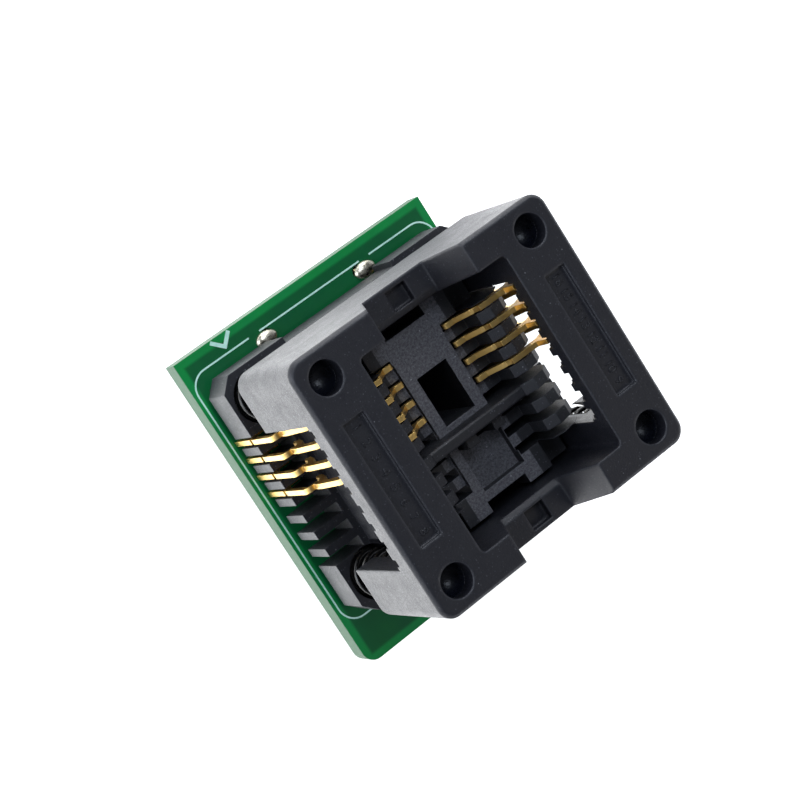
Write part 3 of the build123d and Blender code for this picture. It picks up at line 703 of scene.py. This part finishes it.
def coiled_spring(name, x, y, low, high, radius, wire, turns):
    """One spring round the axis at x, y, between two heights; sizes in millimetres."""
    points_per_turn = 26
    close_turn = 2.05
    tree, entry = geometry_tree(name, ("Coil radius", "Wire radius", "Height", "Turns", "Finish"))
    line = add_node(tree, "GeometryNodeCurvePrimitiveLine")
    fine = add_node(tree, "GeometryNodeResampleCurve", Curve=line.outputs[0],
                    Count=int(turns * points_per_turn))
    along = add_node(tree, "GeometryNodeSplineParameter")
    turn = add_node(tree, "ShaderNodeMath", {"operation": "MULTIPLY"},
                    i0=along.outputs["Factor"], i1=entry.outputs["Turns"])
    angle = add_node(tree, "ShaderNodeMath", {"operation": "MULTIPLY"}, i0=turn.outputs[0],
                     i1=2 * math.pi)
    east, north = [add_node(tree, "ShaderNodeMath", {"operation": "MULTIPLY"}, i0=add_node(
        tree, "ShaderNodeMath", {"operation": wave}, i0=angle.outputs[0]).outputs[0],
        i1=entry.outputs["Coil radius"]) for wave in ("COSINE", "SINE")]
    rise_per_end = add_node(tree, "ShaderNodeMath", {"operation": "MULTIPLY"},
                            i0=entry.outputs["Wire radius"], i1=close_turn)
    ends = add_node(tree, "ShaderNodeMath", {"operation": "MULTIPLY"},
                    i0=rise_per_end.outputs[0], i1=2.0)
    open_height = add_node(tree, "ShaderNodeMath", {"operation": "SUBTRACT"},
                           i0=entry.outputs["Height"], i1=ends.outputs[0])
    last = add_node(tree, "ShaderNodeMath", {"operation": "SUBTRACT"},
                    i0=entry.outputs["Turns"], i1=1.0)
    first_turn = add_node(tree, "ShaderNodeMapRange", i0=turn.outputs[0], i1=0.0, i2=1.0,
                          i3=0.0, i4=rise_per_end.outputs[0])
    open_turns = add_node(tree, "ShaderNodeMapRange", i0=turn.outputs[0], i1=1.0,
                          i2=last.outputs[0], i3=0.0, i4=open_height.outputs[0])
    last_turn = add_node(tree, "ShaderNodeMapRange", i0=turn.outputs[0], i1=last.outputs[0],
                         i2=entry.outputs["Turns"], i3=0.0, i4=rise_per_end.outputs[0])
    lower = add_node(tree, "ShaderNodeMath", {"operation": "ADD"}, i0=first_turn.outputs[0],
                     i1=open_turns.outputs[0])
    rise = add_node(tree, "ShaderNodeMath", {"operation": "ADD"}, i0=lower.outputs[0],
                    i1=last_turn.outputs[0])
    point = add_node(tree, "ShaderNodeCombineXYZ", X=east.outputs[0], Y=north.outputs[0],
                     Z=rise.outputs[0])
    wound = add_node(tree, "GeometryNodeSetPosition", Geometry=fine.outputs[0],
                     Position=point.outputs[0])
    section = add_node(tree, "GeometryNodeCurvePrimitiveCircle", Resolution=10,
                       Radius=entry.outputs["Wire radius"])
    drawn = add_node(tree, "GeometryNodeCurveToMesh", Curve=wound.outputs[0],
                     Profile_Curve=section.outputs[0], Fill_Caps=True)
    smooth = add_node(tree, "GeometryNodeSetShadeSmooth", Geometry=drawn.outputs[0])
    real = add_node(tree, "GeometryNodeRealizeInstances", Geometry=smooth.outputs[0])
    painted = add_node(tree, "GeometryNodeSetMaterial", Geometry=real.outputs[0],
                       Material=entry.outputs["Finish"])
    data = grown_mesh(tree, painted.outputs[0], bpy.data.meshes.new(name + "_seed"), {
        "Coil radius": radius * MM, "Wire radius": wire * MM,
        "Height": (high - low - 2 * wire) * MM, "Turns": turns, "Finish": spring_steel})
    data.transform(Matrix.Translation(Vector((x, y, low + wire)) * MM))
    return show(name, data)


spring_x = 7.6
spring_y = 6.6
spring_foot = 3.2
spring_head = 12.6
spring_wire = 0.16
spring_coil = 1.44
spring_turns = 8.5
corner_signs = [(sx, sy) for sx in (-1, 1) for sy in (1, -1)]
for number, (sx, sy) in enumerate(corner_signs, 1):
    x = sx * spring_x
    y = sy * spring_y
    spring = coiled_spring(f"coil_spring_{number}", x, y, spring_foot, spring_head,
                           spring_coil, spring_wire, spring_turns)
    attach(spring, "base")
    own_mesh(spring)
    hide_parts(f"return_spring_{number}")


# Round bottoms of the four tool holes in the cover. The same black plastic, but moulded on
# polished, ball-ended core pins, so they shine where the skin around is matt.
hole_x = 7.85
hole_y = 6.95
bowl_r = 1.04
bowl_clearance = 0.002
bowl_floor = 14.98
bowl_low = 14.971
bowl_rings = 12
bowl_sides = 40
polish = moulded_plastic("black_pps_off_polished_core_pin", "#10131c", grain_mm=0.16,
                         edge_mm=0.02, roughness=0.32, fibre=0.0)
bowls = bmesh.new()
for sx, sy in corner_signs:
    rings = []
    for i in range(bowl_rings + 1):
        lean = math.pi / 2 * i / bowl_rings
        ring_r = bowl_r * math.sin(lean) + bowl_clearance
        height = bowl_floor + bowl_r * (1 - math.cos(lean))
        rings.append([bowls.verts.new(Vector((sx * hole_x + ring_r * math.cos(angle),
                                              sy * hole_y + ring_r * math.sin(angle),
                                              height)) * MM)
                      for angle in [2 * math.pi * k / bowl_sides for k in range(bowl_sides)]])
    rim = rings[-1]
    foot = [bowls.verts.new((vert.co.x, vert.co.y, bowl_low * MM)) for vert in rim]
    bowls.faces.new(rings[0]).smooth = True
    for k in range(bowl_sides):
        after = (k + 1) % bowl_sides
        for low, high in zip(rings, rings[1:]):
            bowls.faces.new((low[k], high[k], high[after], low[after])).smooth = True
        bowls.faces.new((rim[k], foot[k], foot[after], rim[after]))
        bowls.edges.get((rim[k], rim[after])).smooth = False
    bowls.faces.new(foot[::-1])
bottoms = show_faces("tool_hole_bottoms", bowls, polish)
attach(bottoms, "cover")


# Position numbers in the two sunk panels of the cover, one for each contact place, counted
# down the left side and back up the right. Moulded with the cover, standing 0.04 mm proud.
panel_x = 7.82
panel_floor = 16.87
number_height = 0.82
number_pitch = 1.02
number_relief = 0.04
for side_name, side, numbers in (("left", -1, range(1, 9)), ("right", 1, range(16, 8, -1))):
    mesh = bmesh.new()
    for place_number, label in enumerate(numbers):
        curve = bpy.data.curves.new(f"number_{label}", "FONT")
        curve.body = str(label)
        curve.size = number_height * MM
        curve.extrude = number_relief * MM
        curve.align_x = "CENTER"
        curve.align_y = "CENTER"
        data = plain_mesh(show(curve.name, curve))
        y = number_pitch * ((comb_places - 1) / 2 - place_number)
        data.transform(Matrix.Translation(Vector((side * panel_x, y, panel_floor)) * MM)
                       @ Matrix.Rotation(math.radians(-90), 4, "Z"))
        mesh.from_mesh(data)
    row = show_faces(f"panel_numbers_{side_name}", mesh, cover_plastic)
    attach(row, "cover")
